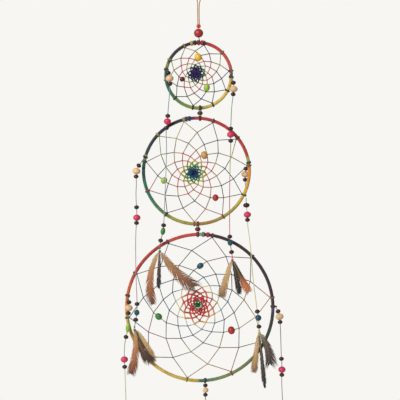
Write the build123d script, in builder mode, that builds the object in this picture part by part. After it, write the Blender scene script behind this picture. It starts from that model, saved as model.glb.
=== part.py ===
from build123d import *
import os
from math import cos, pi, radians, sin, tan

# A three-hoop dream catcher that hangs from a nail. The origin is the nail's bearing point
# under the hanging loop, +Z is up and the face of the hoops looks along -Y. Millimetres.

# Hanger
loop_cord = 1.2  # diameter of the tan cord
loop_width = 7.0  # across the loop where it goes over the nail
loop_spread = 9.0  # length over which the two runs come together under the nail
loop_pair_gap = 1.7  # between the centre lines of the two runs, side by side
loop_length = 41.0  # nail to the top of the knot
knot_diameter = 4.8
pivot_gap = 0.8  # free thread between two pieces that swing on each other
top_bead_diameter = 11.2
top_bead_height = 10.4
top_tie_length = 4.0  # free cord from the top bead down to the small hoop

# Hoops: centre line diameter of each wire ring, and how far each hangs off the nail's line
ring_wire = 2.6
winding_wall = 0.85
small_ring_diameter = 78.5
middle_ring_diameter = 127.0
large_ring_diameter = 175.5
small_ring_x = 0.0
middle_ring_x = -2.6
large_ring_x = 1.4
upper_link_gap = 7.8  # between the windings of the small and the middle hoop
lower_link_gap = 8.2  # between the windings of the middle and the large hoop
upper_link_x = 1.7
lower_link_x = -1.0
link_bead_radius = 3.4
link_bead_slack = 0.3  # free thread above and below each link bead

# Webs
web_thread = 1.0
web_inset = 0.2  # from a winding's inner side to the web's outer knots

# Ties and threads
tie_cord = 0.9  # thread that the hoops are lashed with
tie_width = 3.0  # along the rim
tie_clearance = 0.3  # between a lashing that swings and the winding in it
hitch_clearance = 0.1  # between a hitch and the winding that it grips
hitch_knot_diameter = 2.6
thread_start = 1.6  # from the middle of a hitch's knot to the thread that swings on it
swing_gap = 0.8  # from a thread's bending point to the end of the thread on either side
strand_thread = 1.0
stop_knot_diameter = 2.6
thread_hole = 2.2  # bore of every strung bead
bead_roundness = 0.95  # of the largest shoulder radius that a bead has room for
feather_thickness = 0.8
feather_layer = 1.3  # from one feather's middle plane to the next one's
feather_start = 1.6  # from the middle of the stop knot to the quills

# Widest radius and half height of each kind of strung bead
bead_forms = {
    "dark": (3.0, 2.4),
    "dark_wide": (4.0, 2.8),
    "small_dark": (2.8, 2.3),
    "natural": (4.8, 3.8),
    "small_natural": (3.5, 3.0),
    "pink": (4.4, 3.7),
    "green": (2.8, 4.4),
    "teal": (3.3, 3.3),
    "blue": (3.7, 3.6),
    "lime": (2.7, 5.8),
}
dark_kinds = ("dark", "dark_wide", "small_dark")

os.makedirs("parts", exist_ok=True)
winding_radius = ring_wire / 2 + winding_wall
knot_z = -loop_length - knot_diameter / 2
top_pivot_z = knot_z - knot_diameter / 2 - pivot_gap / 2
top_bead_z = top_pivot_z - pivot_gap / 2 - top_bead_height / 2


def save(piece, name):
    """Label a finished piece and write its STEP file."""
    piece.label = name
    export_step(piece, f"parts/{name}.step")


def corner_radii(points, largest=0.45):
    """Radius of the arc at each inner point: 0.45 of the shorter run over tan(half the turn)."""
    places = [Vector(point) for point in points]
    radii = []
    for before, here, after in zip(places, places[1:], places[2:]):
        turn = (here - before).get_angle(after - here)
        shorter = min((here - before).length, (after - here).length)
        radii.append(largest * shorter / tan(radians(turn / 2)))
    return radii


def make_bead(seat, radius, half_height, bore):
    """A turned bead with round shoulders on its own seat plane, its bore along the plane's Z."""
    wall = radius - bore / 2
    with BuildPart() as bead:
        with BuildSketch(Plane(origin=seat.origin, x_dir=seat.x_dir, z_dir=-seat.y_dir)):
            with Locations((bore / 2 + wall / 2, 0)):
                Rectangle(wall, 2 * half_height)
            fillet(vertices().group_by(Axis.X)[-1], bead_roundness * min(wall, half_height))
        revolve(axis=Axis(seat.origin, seat.z_dir))
    return bead.part


# ---- hanger: the doubled cord, its knot, the top bead and the tie to the small hoop
nail_top = loop_cord / 2
loop_points = [
    (-loop_pair_gap / 2, 0, -loop_length),
    (-loop_pair_gap / 2 - 0.4, 0, -loop_length * 0.62),
    (-loop_pair_gap / 2, 0, -loop_spread * 1.7),
    (-loop_width / 2, 0, -loop_spread * 0.8),
    (-loop_width / 2, 0, nail_top),
    (loop_width / 2, 0, nail_top),
    (loop_width / 2, 0, -loop_spread * 0.8),
    (loop_pair_gap / 2, 0, -loop_spread * 1.7),
    (loop_pair_gap / 2 - 0.4, 0, -loop_length * 0.62),
    (loop_pair_gap / 2, 0, -loop_length),
]
with BuildPart() as hanging_loop:
    with BuildLine() as loop_route:
        FilletPolyline(*loop_points, radius=corner_radii(loop_points))
    with BuildSketch(Plane(origin=loop_route.line @ 0, z_dir=loop_route.line % 0)):
        Circle(loop_cord / 2)
    sweep()
save(hanging_loop.part, "hanging_loop")

with BuildPart(Plane.XY.offset(knot_z)) as hanger_knot:
    Sphere(knot_diameter / 2)
save(hanger_knot.part, "hanger_knot")

top_bead = make_bead(
    Plane.XY.offset(top_bead_z), top_bead_diameter / 2, top_bead_height / 2, thread_hole
)
save(top_bead, "top_bead")

# ---- hoops: each hangs below the one before by the windings' radii and the link's gap
small_top_z = top_bead_z - top_bead_height / 2 - top_tie_length
small_z = small_top_z - winding_radius - small_ring_diameter / 2
middle_z = (
    small_z - (small_ring_diameter + middle_ring_diameter) / 2 - 2 * winding_radius - upper_link_gap
)
large_z = (
    middle_z - (middle_ring_diameter + large_ring_diameter) / 2 - 2 * winding_radius - lower_link_gap
)

# The web of a hoop: how many ties it has on the ring, the angle of the first one, how many
# rounds of knots it is woven in, how much smaller each round is than the last, and where its
# centre has been drawn to. Its beads: round and number of the knot that the bead's stretch of
# thread starts from, 0 or -1 for the side it runs to, how far along it the bead sits, the
# bead's radius and half height.
hoops = {
    "small": {
        "diameter": small_ring_diameter,
        "x": small_ring_x,
        "z": small_z,
        "ties": 10,
        "first_tie": 8,
        "rounds": 8,
        "shrink": 0.78,
        "centre": (-3.1, 2.2),
        "beads": {
            "yellow": (2, 1, 0, 0.4, 4.8, 4.2),
            "maroon": (2, 4, 0, 0.6, 3.2, 2.8),
            "lime": (2, 7, 0, 0.6, 3.7, 4.6),
        },
    },
    "middle": {
        "diameter": middle_ring_diameter,
        "x": middle_ring_x,
        "z": middle_z,
        "ties": 11,
        "first_tie": 6,
        "rounds": 9,
        "shrink": 0.76,
        "centre": (-3.5, -2.6),
        "beads": {
            "tan": (3, 0, 0, 0.4, 4.8, 4.2),
            "lime": (1, 5, 0, 0.6, 4.2, 3.6),
            "red": (1, 9, -1, 0.6, 4.1, 3.6),
        },
    },
    "large": {
        "diameter": large_ring_diameter,
        "x": large_ring_x,
        "z": large_z,
        "ties": 10,
        "first_tie": 8,
        "rounds": 12,
        "shrink": 0.80,
        "centre": (-2.5, 3.1),
        "beads": {
            "teal": (2, 1, 0, 0.5, 3.6, 4.1),
            "green": (2, 4, 0, 0.4, 3.9, 4.4),
            "red": (2, 8, -1, 0.5, 4.9, 4.2),
        },
    },
}


def web_knot(hoop, level, number):
    """Place of one knot of a web in its hoop's plane; level 0 is the ties on the ring."""
    reach = hoop["shrink"] ** level
    radius = (hoop["diameter"] / 2 - winding_radius - web_inset) * reach
    angle = radians(hoop["first_tie"] + (number + level / 2) * 360 / hoop["ties"])
    drawn_x, drawn_y = hoop["centre"]
    return (
        drawn_x * (1 - reach) + radius * cos(angle),
        drawn_y * (1 - reach) + radius * sin(angle),
    )


def inset(corners, distance):
    """Corners of an anticlockwise outline moved inwards; a negative distance moves them out."""
    places = [Vector(*corner) for corner in corners]
    moved = []
    for before, here, after in zip(places[-1:] + places[:-1], places, places[1:] + places[:1]):
        arriving = (here - before).normalized()
        leaving = (after - here).normalized()
        inward = Vector(-arriving.Y - leaving.Y, arriving.X + leaving.X).normalized()
        corner = here + inward * (distance / inward.dot(Vector(-arriving.Y, arriving.X)))
        moved.append((corner.X, corner.Y))
    return moved


def outline(corners):
    """Closed wire through the corners."""
    return Wire.make_polygon([Vector(*corner) for corner in corners], close=True)


def web_face(hoop):
    """The net as one flat face: a star that reaches the ring, less every cell between threads."""
    ties, rounds = hoop["ties"], hoop["rounds"]
    star = []
    for number in range(ties):
        star += [web_knot(hoop, 0, number), web_knot(hoop, 1, number)]
    cells = [
        outline(
            inset(
                [
                    web_knot(hoop, level, number),
                    web_knot(hoop, level + 1, number),
                    web_knot(hoop, level + 2, number - 1),
                    web_knot(hoop, level + 1, number - 1),
                ],
                web_thread / 2,
            )
        )
        for level in range(rounds - 1)
        for number in range(ties)
    ]
    core = [web_knot(hoop, rounds, number) for number in range(ties)]
    hole = outline(inset(core, web_thread))
    return Face(outline(inset(star, -web_thread / 2)), [*cells, hole])


for hoop_name, hoop in hoops.items():
    face = Plane(origin=(hoop["x"], 0, hoop["z"]), x_dir=(1, 0, 0), z_dir=(0, -1, 0))
    ring_radius = hoop["diameter"] / 2
    with BuildPart(face) as ring:
        Torus(ring_radius, ring_wire / 2)
    save(ring.part, f"{hoop_name}_ring")

    with BuildPart(face) as winding:
        Torus(ring_radius, winding_radius)
        Torus(ring_radius, ring_wire / 2, mode=Mode.SUBTRACT)
    save(winding.part, f"{hoop_name}_winding")

    with BuildPart() as web:
        with BuildSketch(face):
            add(web_face(hoop))
        extrude(amount=web_thread / 2, both=True)
    save(web.part, f"{hoop_name}_web")

    for colour, (level, number, side, share, radius, half_height) in hoop["beads"].items():
        start = Vector(*web_knot(hoop, level, number))
        end = Vector(*web_knot(hoop, level + 1, number + side))
        spot = start + (end - start) * share
        seat = Plane(
            origin=(hoop["x"] + spot.X, 0, hoop["z"] + spot.Y),
            x_dir=(0, -1, 0),
            z_dir=(end.X - start.X, 0, end.Y - start.Y),
        )
        save(make_bead(seat, radius, half_height, thread_hole), f"{hoop_name}_web_bead_{colour}")


def rim_height(hoop, x, up):
    """Height of a ring's centre line where it crosses x, at the top (1) or bottom (-1)."""
    across = x - hoop["x"]
    return hoop["z"] + up * ((hoop["diameter"] / 2) ** 2 - across**2) ** 0.5


# ---- ties: the top tie runs up through the top bead, and each link tie through its bead
small, middle, large = hoops["small"], hoops["middle"], hoops["large"]
lashing_reach = winding_radius + tie_clearance
ties = {
    "top_tie": [
        (0, top_bead_z + top_bead_height / 2, 0),
        (0, rim_height(small, 0, 1), 1),
    ],
    "upper_link_tie": [
        (upper_link_x, rim_height(small, upper_link_x, -1), 1),
        (upper_link_x, rim_height(middle, upper_link_x, 1), 1),
    ],
    "lower_link_tie": [
        (lower_link_x, rim_height(middle, lower_link_x, -1), 1),
        (lower_link_x, rim_height(large, lower_link_x, 1), 1),
    ],
}
for name, ((top_x, top_z, top_lashed), (low_x, low_z, low_lashed)) in ties.items():
    stem_top = top_z - top_lashed * (lashing_reach + tie_cord / 2)
    stem_low = low_z + low_lashed * (lashing_reach + tie_cord / 2)
    with BuildPart() as tie:
        with BuildSketch(Plane.XY.offset(stem_low)):
            with Locations((low_x, 0)):
                Circle(tie_cord / 2)
        extrude(amount=stem_top - stem_low)
        for x, z, lashed in ((top_x, top_z, top_lashed), (low_x, low_z, low_lashed)):
            if lashed:
                with BuildSketch(Plane(origin=(x - tie_width / 2, 0, z), z_dir=(1, 0, 0))):
                    Circle(lashing_reach + tie_cord)
                    Circle(lashing_reach, mode=Mode.SUBTRACT)
                extrude(amount=tie_width)
    save(tie.part, name)

for name, x, upper, lower in (
    ("upper_link_bead", upper_link_x, small, middle),
    ("lower_link_bead", lower_link_x, middle, large),
):
    bead_top = rim_height(upper, x, -1) - lashing_reach - tie_cord - link_bead_slack
    bead_low = rim_height(lower, x, 1) + lashing_reach + tie_cord + link_bead_slack
    seat = Plane(origin=(x, 0, (bead_top + bead_low) / 2))
    save(make_bead(seat, link_bead_radius, (bead_top - bead_low) / 2, thread_hole), name)

# ---- hanging strands. Each is tied at an angle on its hoop's ring. Its hitch's knot lies to
# one side of the ring and in front of it (a negative front is behind). The route's points are
# how far across, behind and below the ring's centre line the thread runs, its weight keeping
# it nearly straight. Its beads sit at their distances along the thread from the hitch's knot.
# Each feather runs from the stop knot to a tip so far across and down, and swells so far to
# the left and right of that line, in the back, middle or front layer (-1, 0, 1).
strands = {
    "small_left": {
        "hoop": small,
        "angle": 170.0,
        "knot": (1.5, 3.6),
        "route": [
            (3.5, -7.5, 7.2),
            (4.6, -7.9, 15.2),
            (3.8, -7.8, 32.3),
            (2.0, -7.7, 51.5),
            (1.7, -7.6, 62.3),
            (-0.5, -7.6, 73.1),
            (0.6, -7.6, 91.1),
            (-0.2, -7.6, 122.3),
            (-2.2, -7.6, 165.5),
            (-2.9, -7.6, 185.9),
            (-4.0, -7.6, 195.5),
            (-7.0, -7.6, 205.1),
            (-7.8, -7.6, 214.5),
        ],
        "beads": [
            ("dark", 5.3),
            ("natural", 12.6),
            ("dark", 19.2),
            ("dark", 57.4),
            ("pink", 64.0),
            ("dark", 72.0),
            ("dark", 188.2),
            ("green", 195.4),
            ("dark", 206.8),
        ],
        "feathers": [
            (-7.9, 65.5, 11.0, 2.5, 1),
            (-1.3, 46.8, 2.5, 2.5, 0),
            (40.8, 45.0, 8.5, 4.0, -1),
        ],
    },
    "small_right": {
        "hoop": small,
        "angle": -3.0,
        "knot": (1.0, 3.7),
        "route": [
            (2.5, -7.5, 6.9),
            (2.9, -7.9, 13.8),
            (1.9, -7.8, 23.4),
            (0.2, -7.7, 36.6),
            (-0.5, -7.6, 53.4),
            (-1.0, -7.6, 67.8),
            (-0.7, -7.6, 79.8),
            (-1.6, -7.6, 103.8),
            (-2.3, -7.6, 144.6),
            (-2.1, -7.6, 186.6),
            (-1.6, -7.6, 198.6),
            (0.2, -7.6, 209.4),
            (1.1, -7.6, 216.0),
        ],
        "beads": [
            ("dark", 8.6),
            ("natural", 16.2),
            ("dark", 22.5),
            ("dark", 63.6),
            ("pink", 70.7),
            ("dark", 78.2),
            ("dark", 192.6),
            ("teal", 200.0),
            ("dark", 211.2),
        ],
        "feathers": [
            (-12.4, 46.3, 5.5, 4.5, 0),
            (8.8, 43.2, 2.5, 2.5, -1),
            (19.5, 37.5, 6.0, 5.0, 1),
        ],
    },
    "middle_left": {
        "hoop": middle,
        "angle": 164.6,
        "knot": (-1.5, 3.6),
        "route": [
            (-4.3, -6.6, 6.1),
            (-9.6, -7.4, 13.3),
            (-11.0, -7.6, 20.5),
            (-10.3, -7.6, 30.7),
            (-11.2, -7.6, 46.3),
            (-10.0, -7.6, 63.1),
            (-9.8, -7.6, 73.9),
            (-11.3, -7.6, 90.7),
            (-11.4, -7.6, 117.1),
            (-10.8, -7.6, 147.1),
            (-9.5, -7.6, 174.7),
            (-9.8, -7.6, 186.7),
            (-11.3, -7.6, 195.1),
            (-12.7, -7.6, 203.5),
        ],
        "beads": [
            ("dark", 13.0),
            ("natural", 20.2),
            ("dark", 26.8),
            ("dark", 63.5),
            ("pink", 75.9),
            ("dark", 82.2),
            ("dark", 179.1),
            ("teal", 189.4),
            ("dark", 198.0),
        ],
        "feathers": [
            (-4.2, 54.6, 2.5, 6.5, 1),
            (17.5, 39.6, 5.5, 3.0, 0),
            (21.7, 41.5, 2.0, 5.0, -1),
        ],
    },
    "middle_right": {
        "hoop": middle,
        "angle": 9.2,
        "knot": (-1.5, -3.6),
        "top_route": [
            (-3.4, 7.2, 7.0),
            (-4.0, 7.7, 15.6),
            (-3.8, 6.6, 25.2),
            (-3.3, 5.0, 33.6),
            (-2.9, 4.2, 40.8),
        ],
        "top_beads": [("dark", 8.1), ("natural", 14.9), ("dark", 21.6)],
        "bend": (-2.9, 4.2, 41.6),
        "route": [
            (-2.8, 3.0, 52.2),
            (-1.2, 1.4, 63.0),
            (-1.6, -0.2, 73.2),
            (1.0, -2.6, 91.2),
            (3.1, -5.0, 111.6),
            (4.4, -7.0, 135.6),
            (8.2, -7.7, 164.4),
            (10.0, -7.6, 178.8),
            (12.1, -7.6, 189.6),
            (12.0, -7.6, 201.0),
        ],
        "beads": [
            ("dark_wide", 9.7),
            ("pink", 21.2),
            ("dark", 27.5),
            ("dark", 137.8),
            ("blue", 145.6),
            ("dark", 156.0),
        ],
        "feathers": [
            (-5.6, 49.2, 3.5, 3.0, -1),
            (7.1, 68.0, 2.5, 2.5, 0),
            (14.8, 40.8, 2.5, 7.0, 1),
        ],
    },
    "large_left": {
        "hoop": large,
        "angle": 170.6,
        "knot": (1.0, 3.7),
        "route": [
            (2.4, -7.5, 7.1),
            (1.6, -7.9, 14.9),
            (1.1, -7.8, 23.9),
            (1.4, -7.7, 37.1),
            (-1.7, -7.6, 49.1),
            (-3.5, -7.6, 61.1),
            (-3.6, -7.6, 74.3),
            (-3.0, -7.6, 85.1),
            (-2.3, -7.6, 101.9),
            (-1.4, -7.6, 128.3),
            (-1.8, -7.6, 148.7),
            (-1.0, -7.6, 163.1),
            (-1.3, -7.6, 173.9),
        ],
        "beads": [
            ("dark", 8.4),
            ("natural", 15.2),
            ("dark", 21.6),
            ("lime", 38.8),
            ("dark", 50.2),
            ("pink", 77.2),
            ("dark", 86.0),
            ("dark", 149.4),
            ("green", 156.6),
            ("dark", 163.8),
        ],
        "feathers": [
            (-6.0, 44.0, 6.0, 3.0, 1),
            (2.0, 40.0, 2.5, 2.5, 0),
            (13.0, 42.0, 3.0, 7.0, -1),
        ],
    },
    "large_right": {
        "hoop": large,
        "angle": 0.8,
        "knot": (3.8, 1.8),
        "route": [
            (6.0, -2.1, 4.8),
            (8.0, -2.2, 11.4),
            (8.6, -2.2, 19.2),
            (9.4, -2.2, 38.4),
            (9.8, -2.2, 57.6),
            (10.6, -2.2, 68.4),
            (10.8, -2.2, 78.0),
            (10.3, -2.2, 88.8),
            (11.2, -2.2, 108.0),
            (12.3, -2.2, 127.2),
            (12.6, -2.2, 139.2),
            (13.6, -2.2, 148.8),
            (13.1, -2.2, 159.6),
        ],
        "beads": [
            ("dark", 6.3),
            ("natural", 12.9),
            ("dark", 19.4),
            ("dark", 63.5),
            ("pink", 76.4),
            ("dark", 82.7),
            ("dark", 137.5),
            ("teal", 143.6),
            ("dark", 151.8),
        ],
        "feathers": [
            (-8.0, 46.0, 3.0, 5.0, 0),
            (3.0, 38.0, 2.5, 2.5, -1),
            (12.0, 43.0, 3.0, 7.0, 1),
        ],
    },
    "large_bottom": {
        "hoop": large,
        "angle": 274.2,
        "knot": (0.0, 3.5),
        "route": [
            (0.4, -3.9, 6.0),
            (0.6, -4.0, 12.0),
            (0.2, -4.0, 18.0),
            (0.6, -4.0, 28.8),
            (-0.1, -4.0, 38.4),
            (0.4, -4.0, 48.0),
            (-0.4, -4.0, 58.8),
            (0.0, -4.0, 68.4),
            (-0.5, -4.0, 78.0),
        ],
        "beads": [
            ("small_dark", 5.4),
            ("small_natural", 11.0),
            ("small_dark", 16.6),
            ("dark", 33.8),
            ("pink", 40.3),
            ("dark", 46.7),
            ("dark", 57.5),
            ("green", 64.6),
            ("dark", 71.7),
        ],
        "feathers": [
            (-7.0, 41.0, 6.0, 3.0, 1),
            (1.5, 42.0, 2.5, 2.5, 0),
            (11.0, 38.0, 3.0, 6.0, -1),
        ],
    },
}


def along_route(tie_point, route):
    """A route's points, given as across, behind and below the place where its strand is tied."""
    return [tie_point + Vector(across, back, -drop) for across, back, drop in route]


def make_thread(name, points, stop_knot):
    """A thread's tube along straight runs and tangent arcs, and the route it was swept along."""
    radii = corner_radii(points)
    print(name, "radii", [round(radius, 1) for radius in radii])
    with BuildPart() as thread:
        with BuildLine() as route:
            FilletPolyline(*points, radius=radii)
        path = route.wire()
        with BuildSketch(Plane(origin=path @ 0, z_dir=path % 0)):
            Circle(strand_thread / 2)
        sweep(path=path)
        expected = pi * (strand_thread / 2) ** 2 * path.length
        print(name, "volume", round(thread.part.volume, 1), "of", round(expected, 1), "mm3")
        if stop_knot:
            with Locations(path @ 1):
                Sphere(stop_knot_diameter / 2)
    return thread.part, path


def string_beads(path, start, beads):
    """Beads of the given kinds on a thread, each at its distance from where the thread hangs."""
    strung = []
    for kind, distance in beads:
        share = (distance - start) / path.length
        seat = Plane(origin=path @ share, x_dir=(0, 1, 0), z_dir=path % share)
        strung.append(make_bead(seat, *bead_forms[kind], thread_hole))
    return strung


def make_feather(stop, tip_x, tip_drop, left, right, layer):
    """One feather as a thin leaf from the stop knot to its tip."""
    seat = stop + Vector(0, -layer * feather_layer, 0)
    face = Plane(origin=seat, x_dir=(1, 0, 0), z_dir=(0, -1, 0))
    quill, tip = Vector(0, -feather_start), Vector(tip_x, -tip_drop)
    along = (tip - quill).normalized()
    middle, leftward = (quill + tip) / 2, Vector(along.Y, -along.X)
    with BuildPart() as feather:
        with BuildSketch(face):
            with BuildLine():
                ThreePointArc(quill, middle + leftward * left, tip)
                ThreePointArc(tip, middle - leftward * right, quill)
            make_face()
        extrude(amount=feather_thickness / 2, both=True)
    return feather.part


hitches = {"small": [], "middle": [], "large": []}
for name, strand in strands.items():
    hoop = strand["hoop"]
    angle = radians(strand["angle"])
    along_ring = Vector(-sin(angle), 0, cos(angle))
    outward = Vector(cos(angle), 0, sin(angle))
    tie_point = Vector(hoop["x"], 0, hoop["z"]) + outward * (hoop["diameter"] / 2)
    side, front = strand["knot"]
    knot = tie_point + Vector(side, -front, 0)
    hoop_name = name.split("_")[0]
    with BuildPart() as hitch:
        with BuildSketch(Plane(origin=tie_point - along_ring * tie_width / 2, z_dir=along_ring)):
            Circle(winding_radius + hitch_clearance + tie_cord)
            Circle(winding_radius + hitch_clearance, mode=Mode.SUBTRACT)
        extrude(amount=tie_width)
        with Locations(knot):
            Sphere(hitch_knot_diameter / 2)
    hitches[hoop_name].append(hitch.part)

    hang_point = knot
    start = thread_start
    if "top_route" in strand:
        top_points = [knot - Vector(0, 0, start), *along_route(tie_point, strand["top_route"])]
        top_thread, top_path = make_thread(f"{name}_top", top_points, False)
        save(top_thread, f"{name}_top_thread")
        top_beads = string_beads(top_path, start, strand["top_beads"])
        save(Compound(children=top_beads), f"{name}_top_beads")
        [hang_point] = along_route(tie_point, [strand["bend"]])
        start = swing_gap
    points = [hang_point - Vector(0, 0, start), *along_route(tie_point, strand["route"])]
    thread, path = make_thread(name, points, True)
    save(thread, f"{name}_thread")
    for group, dark in (("dark_beads", True), ("bright_beads", False)):
        beads = [bead for bead in strand["beads"] if (bead[0] in dark_kinds) == dark]
        save(Compound(children=string_beads(path, start, beads)), f"{name}_{group}")
    feathers = [make_feather(path @ 1, *feather) for feather in strand["feathers"]]
    save(Compound(children=feathers), f"{name}_feathers")
    print(name, "hangs from", [round(value, 2) for value in hang_point], "stops at", path @ 1)

for hoop_name, pieces in hitches.items():
    save(Compound(children=pieces), f"{hoop_name}_hitches")
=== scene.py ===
import math
import random

import bpy
from mathutils import Matrix, Vector


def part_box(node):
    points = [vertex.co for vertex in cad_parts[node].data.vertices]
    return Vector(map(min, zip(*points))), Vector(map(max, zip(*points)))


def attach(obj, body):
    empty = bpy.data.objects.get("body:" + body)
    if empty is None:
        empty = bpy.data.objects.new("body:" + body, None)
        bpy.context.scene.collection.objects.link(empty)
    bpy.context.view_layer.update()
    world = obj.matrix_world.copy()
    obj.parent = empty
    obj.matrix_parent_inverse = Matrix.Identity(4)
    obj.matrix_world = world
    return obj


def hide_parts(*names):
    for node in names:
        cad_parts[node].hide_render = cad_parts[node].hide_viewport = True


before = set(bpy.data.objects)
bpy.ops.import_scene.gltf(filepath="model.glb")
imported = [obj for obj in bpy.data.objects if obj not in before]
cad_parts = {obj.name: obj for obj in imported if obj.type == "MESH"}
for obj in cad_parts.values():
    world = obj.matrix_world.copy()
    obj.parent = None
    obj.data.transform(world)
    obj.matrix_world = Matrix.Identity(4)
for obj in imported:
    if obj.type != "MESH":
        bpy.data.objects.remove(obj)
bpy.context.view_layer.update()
random.seed(11)

# Where the hoops hang, read from the frame. Metres throughout.
hoops = {}
for hoopName in ("small", "middle", "large"):
    low, high = (Vector(corner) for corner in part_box(f"{hoopName}_winding"))
    tubeRadius = (high.y - low.y) / 2
    hoops[hoopName] = {
        "centre": (low + high) / 2,
        "tubeRadius": tubeRadius,
        "ringRadius": (high.z - low.z) / 2 - tubeRadius,
    }
print("frame read:", ", ".join(f"{name} hoop {hoop['ringRadius']:.4f}" for name, hoop in hoops.items()))


def deselectAll():
    if bpy.context.object and bpy.context.object.mode != "OBJECT":
        bpy.ops.object.mode_set(mode="OBJECT")
    bpy.ops.object.select_all(action="DESELECT")


def makeActive(piece):
    deselectAll()
    piece.select_set(True)
    bpy.context.view_layer.objects.active = piece


def joinPieces(pieces, name):  # one object from several, named afresh
    deselectAll()
    for piece in pieces:
        piece.select_set(True)
    bpy.context.view_layer.objects.active = pieces[0]
    if len(pieces) > 1:
        bpy.ops.object.join()
    joined = bpy.context.object
    joined.name = joined.data.name = name
    return joined


def tint(red, green, blue):  # screen colour to the linear one that a shader takes
    channels = []
    for value in (red / 255, green / 255, blue / 255):
        channels.append(value / 12.92 if value <= 0.04045 else ((value + 0.055) / 1.055) ** 2.4)
    return (*channels, 1)


# Camera, floor and light
studio = {
    "target": (0.0017, 0, -0.252),
    "distance": 1.5,
    "lens": 112.5,
    "backdrop": (247, 246, 242),
    "fill": 0.42,  # how much of the backdrop's brightness lights the object
    "floorHeight": -0.95,
    "floorSize": 2.4,
    "keyPlace": (-1.3, -1.7, 0.75),
    "keySize": 0.9,
    "keyPower": 52,
}

bpy.ops.object.camera_add(
    location=Vector(studio["target"]) - Vector((0, studio["distance"], 0)), rotation=(math.pi / 2, 0, 0)
)
camera = bpy.context.object
camera.data.lens = studio["lens"]
camera.data.clip_start = 0.05
bpy.context.scene.camera = camera
bpy.context.scene.view_settings.view_transform = "Standard"

bpy.ops.object.light_add(type="AREA", location=studio["keyPlace"])
keyLight = bpy.context.object
keyLight.data.size = studio["keySize"]
keyLight.data.energy = studio["keyPower"]
keyLight.rotation_euler = (Vector(studio["target"]) - keyLight.location).to_track_quat("-Z", "Y").to_euler()

world = bpy.data.worlds.new("paleRoom")
bpy.context.scene.world = world
world.use_nodes = True
worldNodes = world.node_tree.nodes
background = worldNodes["Background"]
background.inputs["Color"].default_value = tint(*studio["backdrop"])
lightPath = worldNodes.new("ShaderNodeLightPath")
brightness = worldNodes.new("ShaderNodeMapRange")
brightness.inputs["To Min"].default_value = studio["fill"]
brightness.inputs["To Max"].default_value = 1.0
world.node_tree.links.new(lightPath.outputs["Is Camera Ray"], brightness.inputs["Value"])
world.node_tree.links.new(brightness.outputs["Result"], background.inputs["Strength"])

bpy.ops.mesh.primitive_plane_add(size=studio["floorSize"], location=(0, 0, studio["floorHeight"]))
floor = bpy.context.object
floor.name = "floor"
bpy.ops.object.transform_apply(location=True)
floorPaint = bpy.data.materials.new("floorPaint")
floorPaint.use_nodes = True
floorShader = floorPaint.node_tree.nodes["Principled BSDF"]
floorShader.inputs["Base Color"].default_value = tint(*studio["backdrop"])
floorShader.inputs["Roughness"].default_value = 0.9
floor.data.materials.append(floorPaint)
print("camera, floor and light are set")

# Routes of the cords, with the points of the CAD part
loopCord = {
    "diameter": 0.0012,
    "points": [
        (-0.00085, 0, -0.041),
        (-0.00125, 0, -0.02542),
        (-0.00085, 0, -0.0153),
        (-0.0035, 0, -0.0072),
        (-0.0035, 0, 0.0006),
        (0.0035, 0, 0.0006),
        (0.0035, 0, -0.0072),
        (0.00085, 0, -0.0153),
        (0.00045, 0, -0.02542),
        (0.00085, 0, -0.041),
    ],
}
strandThread = {"diameter": 0.001, "knotSize": 0.0026, "start": 0.0016, "bendGap": 0.0008}
beadForms = {  # widest radius and half height
    "dark": (0.0030, 0.0024),
    "darkWide": (0.0040, 0.0028),
    "smallDark": (0.0028, 0.0023),
    "natural": (0.0048, 0.0038),
    "smallNatural": (0.0035, 0.0030),
    "pink": (0.0044, 0.0037),
    "green": (0.0028, 0.0044),
    "teal": (0.0033, 0.0033),
    "blue": (0.0037, 0.0036),
    "lime": (0.0027, 0.0058),
}
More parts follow.
